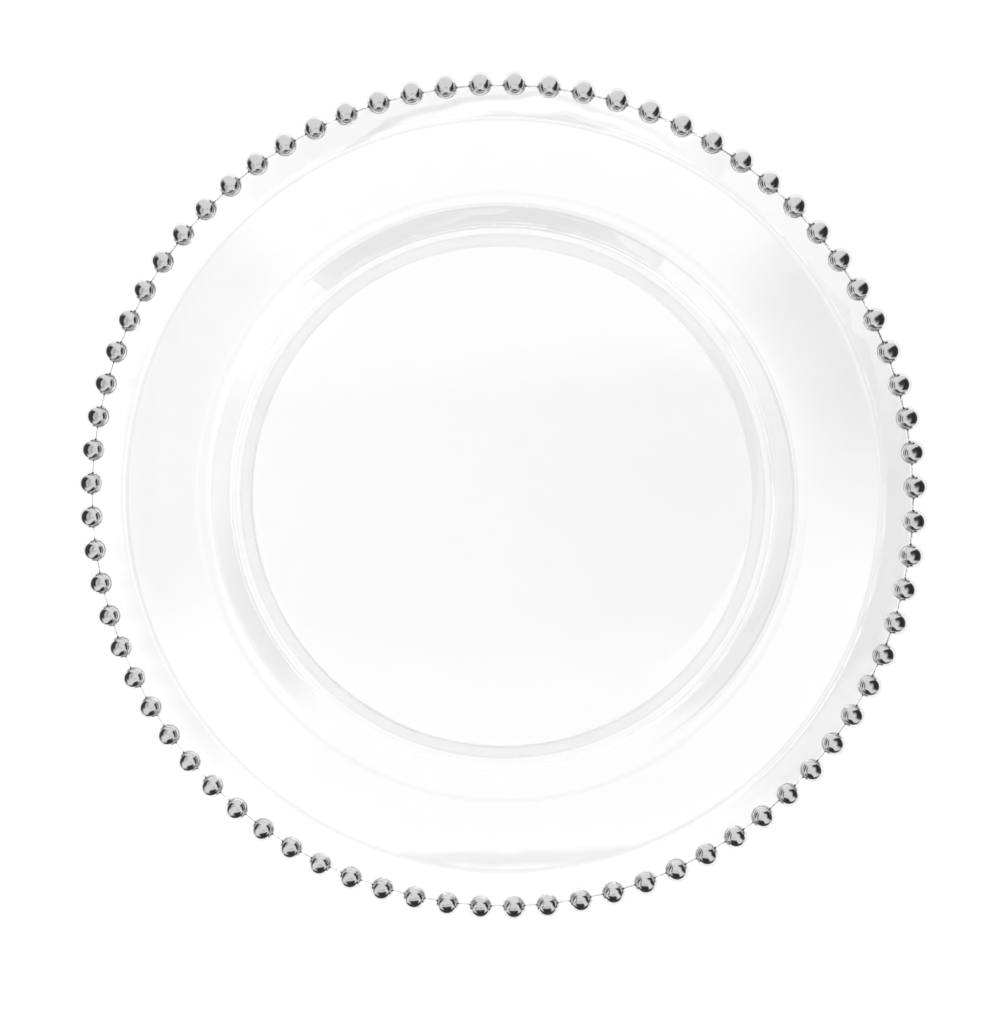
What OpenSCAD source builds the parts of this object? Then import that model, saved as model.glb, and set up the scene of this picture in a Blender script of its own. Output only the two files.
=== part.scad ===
// Charger plate: one clear moulded plate with a flat well, a curved shoulder, a broad and nearly flat rim and
// an up-turned lip, edged with silver beads that are slotted over the thin edge of the lip one by one.
// Lengths are in millimetres and angles in degrees. The origin is the centre of the foot, on the table.

/* [Overall] */
// Diameter over the beads
plate_d = 330; // [310:1:350]

/* [Beads] */
// Diameter of one bead
bead_d = 9.4; // [7:0.1:11]
// Number of beads, an even number because they are kept in pairs
bead_count = 76; // [60:2:80]
// Clearance between a bead's slot and the edge of the lip, filled by the bond
seat_gap = 0.1; // [0.05:0.05:0.3]

/* [Well and shoulder] */
// Width of the shoulder, from the well's corner to the rim's
shoulder_w = 10.8; // [9:0.1:14]
// Depth of the well below the shoulder's corner
well_depth = 7.8; // [6:0.1:10]
// Thickness under the well
well_t = 4; // [3:0.1:5]
// Rounding of the top face where the well meets the shoulder
well_round = 2.5; // [1.5:0.5:5]
// Rounding of the top face where the shoulder meets the rim
shoulder_round = 13; // [8:0.5:16]

/* [Rim and lip] */
// Width of the rim, from the shoulder's corner to the crease of the lip
rim_w = 31; // [25:0.1:40]
// Slope of the rim
rim_slope = 1.5; // [0.5:0.5:5]
// Thickness at the inner side of the rim
rim_t = 3.6; // [2.8:0.1:4.4]
// Width of the lip, from its crease to its edge
lip_w = 12.3; // [10:0.1:14]
// Slope of the lip
lip_slope = 33; // [26:0.5:38]
// Thickness at the crease of the lip
lip_t = 3; // [2.4:0.1:3.6]
// Rounding of the top face along the crease of the lip
lip_round = 3; // [2:0.5:8]
// Thickness of the edge that carries the beads
edge_t = 1.8; // [1.4:0.1:2.2]
// Distance of the edge inside the circle through the bead centres
edge_setback = 0.4; // [0.2:0.1:1]

/* [Foot] */
// Distance of the foot ring's outer side inside the start of the well's rounding
foot_inset = 0.5; // [0.5:0.1:20]
// Width of the foot ring where it leaves the underside
foot_w = 5.4; // [4.4:0.1:8]
// Height of the foot ring
foot_h = 0.7; // [0.5:0.1:1.2]
// Inward lean of each side of the foot ring
foot_draft = 1.2; // [0.9:0.1:1.6]
// Rounding of the foot ring's corners
foot_round = 0.8; // [0.4:0.1:1]

/* [Hidden] */
$fn = 120;
// Largest distance between neighbouring points of a rounded corner
arc_chord = 0.35;
// Share of half the thickness that rounds each corner of an edge
full_round_share = 0.98;

ring_r = (plate_d - bead_d) / 2;
edge_r = ring_r - edge_setback;
lip_r = edge_r - lip_w;
shoulder_r = lip_r - rim_w;
well_r = shoulder_r - shoulder_w;
shoulder_slope = atan2(well_depth, shoulder_w);
foot_out_r = well_r - well_round * tan(shoulder_slope / 2) - foot_inset;
foot_in_r = foot_out_r - foot_w;
bead_pitch = 360 / bead_count;
pair_count = bead_count / 2;
slot_angle = bead_pitch;
well_z = foot_h + well_t;
edge_round = full_round_share * edge_t / 2;

// Unit vectors along a slope and square to it on the upper side
function along(slope) = [cos(slope), sin(slope)];
function above(slope) = [-sin(slope), cos(slope)];

// Corners of the top face, from the well outwards
well_corner = [well_r, well_z];
shoulder_corner = [shoulder_r, well_z + well_depth];
lip_corner = shoulder_corner + rim_w / cos(rim_slope) * along(rim_slope);

// The lip runs straight from its crease to the middle of its rounded edge
edge_reach = edge_r - edge_t / 2 - edge_t / 2 * sin(lip_slope) - lip_r;
edge_middle = lip_corner + edge_reach / cos(lip_slope) * along(lip_slope) - edge_t / 2 * above(lip_slope);
bead_centre = edge_middle + (ring_r - edge_middle[0]) / cos(lip_slope) * along(lip_slope);

// Point of the lower face that lies a thickness away from a corner of the top face, on the corner's bisector
function below(corner, slope_in, slope_out, thickness) =
    corner - thickness / cos((slope_out - slope_in) / 2) * above((slope_in + slope_out) / 2);

well_under = below(well_corner, 0, shoulder_slope, well_t);
shoulder_under = below(shoulder_corner, shoulder_slope, rim_slope, rim_t);
lip_under = below(lip_corner, rim_slope, lip_slope, lip_t);

function pair_name(k) = str("bead_pair_", k < 10 ? "0" : "", k);

// Rounded outlines: each corner is a point followed by its rounding
function unit(v) = v / norm(v);
function turned(v, angle) = [v[0] * cos(angle) - v[1] * sin(angle), v[0] * sin(angle) + v[1] * cos(angle)];
function place(corner) = [corner[0], corner[1]];

function arc_at(before, corner, after, radius) =
    let (way_in = unit(corner - before))
    let (way_out = unit(after - corner))
    let (turn = atan2(cross(way_in, way_out), way_in * way_out))
    let (start = corner - radius * tan(abs(turn) / 2) * way_in)
    let (centre = start + sign(turn) * radius * turned(way_in, 90))
    let (steps = ceil(radius * abs(turn) * PI / 180 / arc_chord))
    [for (k = [0 : steps]) centre + turned(start - centre, turn * k / steps)];

function rounded(corners) =
    let (n = len(corners))
    [for (k = [0 : n - 1])
        let (before = place(corners[(k + n - 1) % n]))
        let (here = place(corners[k]))
        let (after = place(corners[(k + 1) % n]))
        each corners[k][2] > 0 ? arc_at(before, here, after, corners[k][2]) : [here]];

function corner(point, rounding) = [point[0], point[1], rounding];

// The two corners of the square end that the edge is rounded from, grown all round by a gap
function edge_end(side, gap) =
    corner(
        edge_middle + (edge_t / 2 + gap) * (along(lip_slope) + side * above(lip_slope)),
        edge_round + gap
    );

// Half section of the clear plate, anticlockwise from the middle of its underside
function plate_section() = rounded([
    corner([0, foot_h], 0),
    corner([foot_in_r, foot_h], foot_round),
    corner([foot_in_r + foot_draft, 0], foot_round),
    corner([foot_out_r - foot_draft, 0], foot_round),
    corner([foot_out_r, foot_h], foot_round),
    corner(well_under, well_round + well_t),
    corner(shoulder_under, shoulder_round - rim_t),
    corner(lip_under, lip_round + lip_t),
    edge_end(-1, 0),
    edge_end(1, 0),
    corner(lip_corner, lip_round),
    corner(shoulder_corner, shoulder_round),
    corner(well_corner, well_round),
    corner([0, well_z], 0)
]);

// Section of the space that the lip takes up in a bead, with the seat's clearance
function slot_section() = rounded([
    corner(lip_under - seat_gap * above(lip_slope), 0),
    edge_end(-1, seat_gap),
    edge_end(1, seat_gap),
    corner(lip_corner + seat_gap * above(lip_slope), 0)
]);

module glass_plate() {
    color("whitesmoke", 0.5)
        rotate_extrude()
            polygon(plate_section());
}

// One bead on the +X side, with the slot that seats it on the lip
module slotted_bead() {
    difference() {
        translate([bead_centre[0], 0, bead_centre[1]])
            sphere(d = bead_d);
        rotate([0, 0, -slot_angle / 2])
            rotate_extrude(angle = slot_angle)
                polygon(slot_section());
    }
}

// Two neighbouring beads, counted anticlockwise from the +X axis
module bead_pair(k) {
    color("silver")
        for (bead = [2 * k - 2, 2 * k - 1])
            rotate([0, 0, bead * bead_pitch])
                slotted_bead();
}

glass_plate();
for (k = [1 : pair_count])
    bead_pair(k);
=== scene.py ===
"""Looks of the beaded glass charger plate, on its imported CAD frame. Lengths in metres, angles in degrees."""
from math import atan2, ceil, cos, degrees, pi, radians, sin, tan

import bpy
from mathutils import Matrix, Vector


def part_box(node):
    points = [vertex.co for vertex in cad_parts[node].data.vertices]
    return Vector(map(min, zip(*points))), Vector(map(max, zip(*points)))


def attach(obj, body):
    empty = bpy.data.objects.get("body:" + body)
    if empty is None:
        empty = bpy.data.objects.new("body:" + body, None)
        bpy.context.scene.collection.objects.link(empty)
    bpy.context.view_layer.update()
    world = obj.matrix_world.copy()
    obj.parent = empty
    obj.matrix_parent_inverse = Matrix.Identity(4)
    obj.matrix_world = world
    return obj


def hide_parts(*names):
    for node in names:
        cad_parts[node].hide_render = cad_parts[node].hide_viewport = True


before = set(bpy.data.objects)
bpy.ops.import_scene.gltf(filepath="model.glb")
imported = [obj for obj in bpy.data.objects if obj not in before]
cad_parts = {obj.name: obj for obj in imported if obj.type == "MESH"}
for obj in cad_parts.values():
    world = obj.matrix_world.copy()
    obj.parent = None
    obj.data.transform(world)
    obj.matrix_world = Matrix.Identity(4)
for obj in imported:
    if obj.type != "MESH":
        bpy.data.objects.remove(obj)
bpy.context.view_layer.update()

MM = 0.001

# Bead edge, measured on the frame
bead_names = sorted(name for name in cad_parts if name.startswith("bead_pair"))
bead_low, bead_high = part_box(bead_names[0])
bead_z = (bead_high.z + bead_low.z) / 2
beads_per_node = 2

# Section of the plate, the same driving values as in the part's source
edge_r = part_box("glass_plate")[1].x
shoulder_w = 10.8 * MM
well_depth = 7.8 * MM
well_t = 4 * MM
well_round = 2.5 * MM
shoulder_round = 13 * MM
rim_w = 31 * MM
rim_slope = 1.5
rim_t = 3.6 * MM
lip_w = 12.3 * MM
lip_r = edge_r - lip_w
lip_slope = 33
lip_t = 3 * MM
lip_round = 3 * MM
edge_t = 1.8 * MM
foot_inset = 0.5 * MM
foot_w = 5.4 * MM
foot_h = 0.7 * MM
foot_draft = 1.2 * MM
foot_round = 0.8 * MM
full_round_share = 0.98

# Fineness of the plate's mesh, along its section and round its axis
arc_chord = 0.15 * MM
guard = 0.15 * MM
shortest_run = 3 * guard
flat_step = 4 * MM
steps_per_bead = 5
turn_steps = steps_per_bead * beads_per_node * len(bead_names)

# Glass: the clear body and its gloss, the foot's ground seat (real frost, with painted shade where it meets
# the paper), a painted shade line along the lip's crease, wiping marks and waves
clear_tint = (0.989, 0.991, 0.99)
glass_ior = 1.52
gloss_ior = 2.0
# Grey painted shade, laid on the foot's seat where it meets the paper and along the lip's crease
painted_shade_tint = (0.84, 0.842, 0.841)
seat_low = 0.02 * MM
seat_high = 0.12 * MM
seat_rough = 0.55
# Half width of the painted shade line along the lip's crease
crease_shade_half = 0.9 * MM
wipe_scale = 60
wipe_range = (0.35, 0.75)
wipe_rough = 0.03
wave_scale = 45
wave_height = 0.07 * MM
wave_strength = 1.0

# Silver plating: clouds of tarnish and the ripple of polishing
tarnished = (0.73, 0.73, 0.73)
polished = (0.81, 0.81, 0.81)
cloud_scale = 140
cloud_range = (0.3, 0.7)
tarnished_rough = 0.07
polished_rough = 0.03
ripple_scale = 420
ripple_height = 0.02 * MM
ripple_strength = 0.6

# Paper: its fibre
paper_low = (0.895, 0.895, 0.895)
paper_high = (0.905, 0.905, 0.905)
paper_rough = 0.9
fibre_scale = 300

# Stage: the paper, the lamps that light it, and the white room
paper_reach = 14.0
paper_gap = 0.05 * MM
top_at = (0, 0, 40)
top_size = 20
top_power = 18700
key_size = 0.4
key_power = 2.6
key_at = (-0.42, 0.05, 0.95)
sky = 0.84
sky_from = 0.7
horizon = 0.92

# Ceiling: rows of a place and the brightness at the two sides; columns of a place and its share of the right
ceiling_z = 0.82
ceiling_rows = [
    (-0.6, sky, sky), (-0.22, sky, sky), (-0.15, 0.74, 0.66), (-0.06, 0.74, 0.6),
    (0.02, 0.74, 0.6), (0.07, sky, sky), (0.6, sky, sky),
]
ceiling_columns = [(-0.6, 0), (-0.2, 0.1), (-0.05, 0.4), (0.07, 1), (0.6, 1)]

# Dark flags round the plate: radii with their brightness, heights over the beads with theirs, the angles of
# the card's ends, and the angles between which its dark part comes in and goes out
flag_steps = 48
right_h = 0.135
right_span = (-62, 62)
right_near = (-24, 18, 30, 50)
right_far = (-42, -24, 34, 46)
right_inner = [(0.11, sky), (0.125, 0.44), (0.14, 0.28), (0.15, 0.12), (0.16, 0.05), (0.19, 0.05)]
right_outer = [(0.24, 0.05), (0.28, 0.03), (0.42, 0.03), (0.6, 0.05)]
right_wall = [(0.03, 0.09), (-0.02, 0.3)]
left_h = 0.11
left_span = (104, 232)
left_dark = (130, 142, 190, 208)
left_rows = [
    (0.125, sky), (0.137, 0.58), (0.157, 0.52), (0.1625, 0.36), (0.169, 0.58), (0.2, 0.68), (0.21, 0.4),
    (0.222, 0.1), (0.24, 0.05), (0.28, 0.035), (0.34, 0.045), (0.4, 0.17), (0.46, 0.5),
]
corner_r = 0.6
corner_span = (188, 246)
corner_dark = (194, 203, 228, 242)
corner_rows = [(0.22, 0.3), (0.2, 0.08), (0.08, 0.08)]

# Boards beside the plate: distances, heights over the beads and brightness
board_fade = 0.3
left_board_ends = (-0.38, 0.38)
left_board_rows = [
    (0.2, 0.3, sky), (0.23, 0.3, 0.3), (0.3, 0.3, 0.12), (0.38, 0.3, 0.15), (0.44, 0.3, 0.6), (0.5, 0.3, sky),
]
left_wall_ends = (-0.3, 0.36)
left_wall_rows = [(0.3, 0.11, 0.06), (0.3, 0.05, 0.06), (0.3, 0.02, 0.15)]
front_h = 0.2
front_rows = [
    (0.178, sky, 0.14), (0.181, 0.0, 0.14), (0.184, 0.0, 0.14), (0.187, sky, 0.16),
    (0.2, sky, 0.28), (0.2045, 0.04, 0.28), (0.22, 0.08, 0.3), (0.25, 0.055, 0.31), (0.29, 0.03, 0.32),
    (0.36, 0.03, 0.33), (0.43, 0.04, 0.34), (0.5, 0.04, 0.34), (0.57, 0.2, 0.34), (0.63, sky, 0.34),
]
front_wall_rows = [(0.3, 0.105, 0.05), (0.3, 0.05, 0.05), (0.3, 0.02, 0.12)]
front_wall_ends = (-0.56, 0.52)

# Camera: the photograph's viewing angle
photo_w = 1007
photo_h = 1024
camera_at = Vector((57.413, 58.893, 798.261)) * MM
camera_aim = Vector((2.208, -3.899, 0)) * MM
camera_roll = -2.357
focal_px = 2070
sensor = 36


def along(slope):
    """Unit vector along a slope of the section."""
    return Vector((cos(radians(slope)), sin(radians(slope))))


def above(slope):
    """Unit vector square to a slope, on its upper side."""
    return Vector((-sin(radians(slope)), cos(radians(slope))))


def below(corner, slope_in, slope_out, thickness):
    """Corner of the lower face, a thickness away from a corner of the upper one."""
    half = (slope_out - slope_in) / 2
    return corner - thickness / cos(radians(half)) * above((slope_in + slope_out) / 2)


def plate_corners():
    """Corners of the plate's half section and their roundings, anticlockwise from the underside's middle."""
    shoulder_r = lip_r - rim_w
    well_r = shoulder_r - shoulder_w
    shoulder_slope = degrees(atan2(well_depth, shoulder_w))
    foot_out_r = well_r - well_round * tan(radians(shoulder_slope / 2)) - foot_inset
    foot_in_r = foot_out_r - foot_w
    well_z = foot_h + well_t
    well_corner = Vector((well_r, well_z))
    shoulder_corner = Vector((shoulder_r, well_z + well_depth))
    lip_corner = shoulder_corner + rim_w / cos(radians(rim_slope)) * along(rim_slope)
    edge_reach = edge_r - edge_t / 2 - edge_t / 2 * sin(radians(lip_slope)) - lip_r
    edge_middle = lip_corner + edge_reach / cos(radians(lip_slope)) * along(lip_slope)
    edge_middle -= edge_t / 2 * above(lip_slope)
    edge_round = full_round_share * edge_t / 2
    return [
        (Vector((0, foot_h)), 0),
        (Vector((foot_in_r, foot_h)), foot_round),
        (Vector((foot_in_r + foot_draft, 0)), foot_round),
        (Vector((foot_out_r - foot_draft, 0)), foot_round),
        (Vector((foot_out_r, foot_h)), foot_round),
        (below(well_corner, 0, shoulder_slope, well_t), well_round + well_t),
        (below(shoulder_corner, shoulder_slope, rim_slope, rim_t), shoulder_round - rim_t),
        (below(lip_corner, rim_slope, lip_slope, lip_t), lip_round + lip_t),
        (edge_middle + edge_t / 2 * (along(lip_slope) - above(lip_slope)), edge_round),
        (edge_middle + edge_t / 2 * (along(lip_slope) + above(lip_slope)), edge_round),
        (lip_corner, lip_round),
        (shoulder_corner, shoulder_round),
        (well_corner, well_round),
        (Vector((0, well_z)), 0),
    ]


def corner_arc(before, corner, after, radius):
    """Points of the arc that rounds a corner."""
    way_in = (corner - before).normalized()
    way_out = (after - corner).normalized()
    turn = atan2(way_in.x * way_out.y - way_in.y * way_out.x, way_in.dot(way_out))
    start = corner - radius * tan(abs(turn) / 2) * way_in
    side = 1 if turn > 0 else -1
    centre = start + side * radius * Vector((-way_in.y, way_in.x))
    steps = max(2, ceil(radius * abs(turn) / arc_chord))
    points = []
    for k in range(steps + 1):
        a = turn * k / steps
        d = start - centre
        points.append(centre + Vector((d.x * cos(a) - d.y * sin(a), d.x * sin(a) + d.y * cos(a))))
    return points


def plate_section():
    """Fine half section, with guard points that keep the straight runs straight when shaded smooth."""
    corners = plate_corners()
    n = len(corners)
    runs = []
    for k, (point, radius) in enumerate(corners):
        if radius:
            runs.append(corner_arc(corners[k - 1][0], point, corners[(k + 1) % n][0], radius))
        else:
            runs.append([point])
    section = []
    for k, run in enumerate(runs):
        section += run
        if k + 1 < n:
            start, end = run[-1], runs[k + 1][0]
            length = (end - start).length
            if length > shortest_run:
                marks = [guard]
                inner = length - 2 * guard
                steps = ceil(inner / flat_step)
                marks += [guard + inner * j / steps for j in range(1, steps + 1)]
                section += [start.lerp(end, mark / length) for mark in marks]
    return section


def lathe(name, section):
    """Closed solid of revolution about Z; the section starts and ends on the axis."""
    inner = section[1:-1]
    rows = len(inner)
    verts = [(0, 0, section[0].y), (0, 0, section[-1].y)]
    for s in range(turn_steps):
        a = 2 * pi * s / turn_steps
        verts += [(p.x * cos(a), p.x * sin(a), p.y) for p in inner]
    faces = []
    for s in range(turn_steps):
        here = 2 + s * rows
        there = 2 + (s + 1) % turn_steps * rows
        faces.append((0, there, here))
        faces.append((1, here + rows - 1, there + rows - 1))
        faces += [(here + k, there + k, there + k + 1, here + k + 1) for k in range(rows - 1)]
    mesh = bpy.data.meshes.new(name)
    mesh.from_pydata(verts, [], faces)
    mesh.validate()
    mesh.shade_smooth()
    piece = bpy.data.objects.new(name, mesh)
    bpy.context.scene.collection.objects.link(piece)
    return piece


class Paint:
    """A material and short ways to add nodes to it."""

    def __init__(self, name):
        self.material = bpy.data.materials.new(name)
        self.material.use_nodes = True
        self.tree = self.material.node_tree
        self.tree.nodes.clear()
        self.out = self.tree.nodes.new("ShaderNodeOutputMaterial")

    def add(self, kind, **settings):
        node = self.tree.nodes.new(kind)
        for key, value in settings.items():
            setattr(node, key, value)
        return node

    def link(self, source, target):
        self.tree.links.new(source, target)

    def shader(self, kind="ShaderNodeBsdfPrincipled", **values):
        node = self.add(kind)
        for key, value in values.items():
            node.inputs[key.replace("_", " ")].default_value = value
        self.link(node.outputs[0], self.out.inputs["Surface"])
        return node

    def place(self):
        return self.add("ShaderNodeTexCoord").outputs["Object"]

    def noise(self, where, scale, detail=2.0, roughness=0.5):
        node = self.add("ShaderNodeTexNoise")
        node.inputs["Scale"].default_value = scale
        node.inputs["Detail"].default_value = detail
        node.inputs["Roughness"].default_value = roughness
        self.link(where, node.inputs["Vector"])
        return node.outputs["Fac"]

    def spread(self, value, low, high, to_low, to_high):
        """A value stretched from one range to another, and held at its ends."""
        node = self.add("ShaderNodeMapRange")
        for key, number in (("From Min", low), ("From Max", high), ("To Min", to_low), ("To Max", to_high)):
            node.inputs[key].default_value = number
        self.link(value, node.inputs["Value"])
        return node.outputs["Result"]

    def blend(self, share, low, high):
        node = self.add("ShaderNodeMix", data_type="RGBA")
        node.inputs["A"].default_value = (*low, 1)
        node.inputs["B"].default_value = (*high, 1)
        self.link(share, node.inputs["Factor"])
        return node.outputs["Result"]

    def either(self, operation, a, b):
        node = self.add("ShaderNodeMath", operation=operation)
        self.link(a, node.inputs[0])
        self.link(b, node.inputs[1])
        return node.outputs[0]

    def height(self, where):
        node = self.add("ShaderNodeSeparateXYZ")
        self.link(where, node.inputs[0])
        return node.outputs["Z"]

    def reach(self, where):
        """Distance from the axis of the plate."""
        flat = self.add("ShaderNodeVectorMath", operation="MULTIPLY")
        flat.inputs[1].default_value = (1, 1, 0)
        self.link(where, flat.inputs[0])
        node = self.add("ShaderNodeVectorMath", operation="LENGTH")
        self.link(flat.outputs["Vector"], node.inputs[0])
        return node.outputs["Value"]

    def bump(self, height, distance, strength, shader, sockets=("Normal",)):
        node = self.add("ShaderNodeBump")
        node.inputs["Strength"].default_value = strength
        node.inputs["Distance"].default_value = distance
        self.link(height, node.inputs["Height"])
        for socket in sockets:
            self.link(node.outputs["Normal"], shader.inputs[socket])


def clear_glass():
    """Pressed clear glass with faint waves, wiping marks, a painted shade line along the lip's crease, and a
    ground seat with real frost and painted shade where it meets the paper.
    """
    paint = Paint("clear_glass")
    where = paint.place()
    gloss = {"Coat_Weight": 1.0, "Coat_IOR": gloss_ior, "Coat_Roughness": 0.0}
    glass = paint.shader(IOR=glass_ior, Transmission_Weight=1.0, **gloss)
    # The seat's height mask drives its real frost and also its painted shade against the paper
    seat_frost_and_shade = paint.spread(paint.height(where), seat_low, seat_high, 1.0, 0.0)
    out = paint.reach(where)
    # Painted shade: a thin grey line along the lip's crease stands in for its refraction shadow
    rise = paint.spread(out, lip_r - crease_shade_half, lip_r, 0.0, 1.0)
    fall = paint.spread(out, lip_r, lip_r + crease_shade_half, 1.0, 0.0)
    # Painted shade: the seat and the crease line take the grey tint
    painted_shade = paint.either("MAXIMUM", seat_frost_and_shade, paint.either("MINIMUM", rise, fall))
    paint.link(paint.blend(painted_shade, clear_tint, painted_shade_tint), glass.inputs["Base Color"])
    wipes = paint.spread(paint.noise(where, wipe_scale, detail=4), *wipe_range, 0.0, wipe_rough)
    frost = paint.spread(seat_frost_and_shade, 0.0, 1.0, 0.0, seat_rough)
    paint.link(paint.either("MAXIMUM", wipes, frost), glass.inputs["Roughness"])
    waves = paint.noise(where, wave_scale, detail=1)
    paint.bump(waves, wave_height, wave_strength, glass, ("Normal", "Coat Normal"))
    return paint.material


def silver():
    """Mirror silver plating: a little tarnish in the colour and gloss, and a trace of polishing ripple."""
    paint = Paint("silver")
    where = paint.place()
    metal = paint.shader(Metallic=1.0)
    cloud = paint.noise(where, cloud_scale, detail=3)
    paint.link(paint.blend(cloud, tarnished, polished), metal.inputs["Base Color"])
    gloss = paint.spread(cloud, *cloud_range, tarnished_rough, polished_rough)
    paint.link(gloss, metal.inputs["Roughness"])
    paint.bump(paint.noise(where, ripple_scale), ripple_height, ripple_strength, metal)
    return paint.material


def white_floor():
    """Matt white paper sweep with a faint fibre."""
    paint = Paint("white_paper")
    matt = paint.shader(Roughness=paper_rough, Specular_IOR_Level=0.0)
    fibre = paint.noise(paint.place(), fibre_scale, detail=4)
    paint.link(paint.blend(fibre, paper_low, paper_high), matt.inputs["Base Color"])
    return paint.material


def sheet(name, corners, faces, material):
    """A thin stage panel."""
    mesh = bpy.data.meshes.new(name)
    mesh.from_pydata(corners, [], faces)
    mesh.materials.append(material)
    panel = bpy.data.objects.new(name, mesh)
    bpy.context.scene.collection.objects.link(panel)
    return panel


def card_glow():
    """Brightness of the cards, carried by their points."""
    paint = Paint("card_glow")
    light = paint.shader("ShaderNodeEmission", Color=(1, 1, 1, 1))
    shade = paint.add("ShaderNodeAttribute", attribute_name="glow")
    paint.link(shade.outputs["Fac"], light.inputs["Strength"])
    return paint.material


def card(name, rows, glow):
    """A card that shows only in the gloss of glass and beads; its points are places with a brightness."""
    wide = len(rows[0])
    points = [point for row in rows for point in row]
    faces = []
    for j in range(len(rows) - 1):
        here, there = wide * j, wide * (j + 1)
        faces += [(here + k, here + k + 1, there + k + 1, there + k) for k in range(wide - 1)]
    panel = sheet(name, [point[:3] for point in points], faces, glow)
    shades = panel.data.attributes.new("glow", "FLOAT", "POINT")
    shades.data.foreach_set("value", [point[3] for point in points])
    panel.visible_camera = False
    panel.visible_diffuse = False
    panel.visible_shadow = False
    return panel


def ease(value, low, high):
    """Smooth rise from 0 to 1 between two values."""
    share = min(1, max(0, (value - low) / (high - low)))
    return share * share * (3 - 2 * share)


def flag(name, span, rows, glow):
    """A dark card round the plate: rows of a radius, a height, a brightness and the dark part's angles."""
    grid = []
    for r, h, shade, dark in rows:
        line = []
        for k in range(flag_steps + 1):
            a = span[0] + (span[1] - span[0]) * k / flag_steps
            share = ease(a, dark[0], dark[1]) * (1 - ease(a, dark[2], dark[3]))
            line.append((r * cos(radians(a)), r * sin(radians(a)), bead_z + h, sky + (shade - sky) * share))
        grid.append(line)
    return card(name, grid, glow)


def board(name, rows, glow, along_x=False):
    """A dark card beside the plate: rows of a place across, a height, a brightness and two ends."""
    grid = []
    for across, h, shade, ends in rows:
        fade = board_fade * (ends[1] - ends[0])
        line = []
        for mark, share in ((ends[0], 0), (ends[0] + fade, 1), (ends[1] - fade, 1), (ends[1], 0)):
            x, y = (mark, across) if along_x else (across, mark)
            line.append((x, y, bead_z + h, sky + (shade - sky) * share))
        grid.append(line)
    return card(name, grid, glow)


def soft_light(name, place, **settings):
    """A lamp for the paper alone, aimed at the origin; the gloss of the plate shows the cards instead."""
    lamp = bpy.data.lights.new(name, "AREA")
    for key, value in settings.items():
        setattr(lamp, key, value)
    light = bpy.data.objects.new(name, lamp)
    light.location = place
    light.rotation_euler = Vector(place).to_track_quat("Z", "Y").to_euler()
    light.visible_camera = False
    light.visible_glossy = False
    light.visible_transmission = False
    bpy.context.scene.collection.objects.link(light)


def set_camera():
    """The photograph's camera, placed from the middle of the bead circle."""
    middle = Vector((0, 0, bead_z))
    lens = bpy.data.cameras.new("camera")
    lens.sensor_width = sensor
    lens.sensor_fit = "AUTO"
    lens.lens = focal_px * sensor / max(photo_w, photo_h)
    lens.clip_end = 2 * paper_reach
    camera = bpy.data.objects.new("camera", lens)
    back = (camera_at - camera_aim).normalized()
    level = Vector((0, 1, 0)).cross(back).normalized()
    up = back.cross(level)
    roll = radians(camera_roll)
    right = cos(roll) * level + sin(roll) * up
    up = back.cross(right)
    turn = Matrix((right, up, back)).transposed().to_4x4()
    camera.matrix_world = Matrix.Translation(middle + camera_at) @ turn
    bpy.context.scene.collection.objects.link(camera)
    bpy.context.scene.camera = camera


def set_ceiling(glow):
    """The bright ceiling, with the duller band that lies across the well."""
    grid = []
    for y, left, right in ceiling_rows:
        grid.append([(x, y, ceiling_z, left + (right - left) * share) for x, share in ceiling_columns])
    card("ceiling", grid, glow)


def set_flags(glow):
    """The dark surroundings to the right, to the left and in front."""
    right = [(r, right_h, shade, right_near) for r, shade in right_inner]
    right += [(r, right_h, shade, right_far) for r, shade in right_outer]
    right += [(right_outer[-1][0], h, shade, right_far) for h, shade in right_wall]
    flag("right_flag", right_span, right, glow)
    flag("left_flag", left_span, [(r, left_h, shade, left_dark) for r, shade in left_rows], glow)
    flag("corner_flag", corner_span, [(corner_r, h, shade, corner_dark) for h, shade in corner_rows], glow)
    board("left_board", [(-r, h, shade, left_board_ends) for r, h, shade in left_board_rows], glow)
    board("left_wall", [(-r, h, shade, left_wall_ends) for r, h, shade in left_wall_rows], glow)
    front = [(-r, front_h, shade, (-half, half)) for r, shade, half in front_rows]
    board("front_flag", front, glow, along_x=True)
    wall = [(-r, h, shade, front_wall_ends) for r, h, shade in front_wall_rows]
    board("front_wall", wall, glow, along_x=True)


def set_room():
    """A white room round the stage, a little brighter towards the horizon."""
    world = bpy.data.worlds.new("white_room")
    world.use_nodes = True
    tree = world.node_tree
    where = tree.nodes.new("ShaderNodeTexCoord")
    split = tree.nodes.new("ShaderNodeSeparateXYZ")
    grade = tree.nodes.new("ShaderNodeMapRange")
    for key, number in (("From Min", 0), ("From Max", sky_from), ("To Min", horizon), ("To Max", sky)):
        grade.inputs[key].default_value = number
    tree.links.new(where.outputs["Generated"], split.inputs[0])
    tree.links.new(split.outputs["Z"], grade.inputs["Value"])
    tree.links.new(grade.outputs["Result"], tree.nodes["Background"].inputs["Strength"])
    tree.nodes["Background"].inputs["Color"].default_value = (1, 1, 1, 1)
    bpy.context.scene.world = world
    world.cycles_visibility.diffuse = False
    bpy.context.scene.view_settings.view_transform = "Standard"


def set_stage():
    """The paper, the room round it and the lamps."""
    low, reach = -paper_gap, paper_reach
    corners = [(-reach, -reach, low), (reach, -reach, low), (reach, reach, low), (-reach, reach, low)]
    sheet("paper", corners, [(0, 1, 2, 3)], white_floor())
    glow = card_glow()
    set_ceiling(glow)
    set_flags(glow)
    set_room()
    soft_light("top_light", top_at, energy=top_power, size=top_size, use_shadow=False)
    soft_light("key", key_at, energy=key_power, size=key_size)


set_camera()
set_stage()

plate = lathe("plate_glass", plate_section())
plate.data.materials.append(clear_glass())
plate.visible_diffuse = False
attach(plate, "root")
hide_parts("glass_plate")

plating = silver()
for name in bead_names:
    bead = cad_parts[name]
    for slot in bead.material_slots:
        slot.material = plating
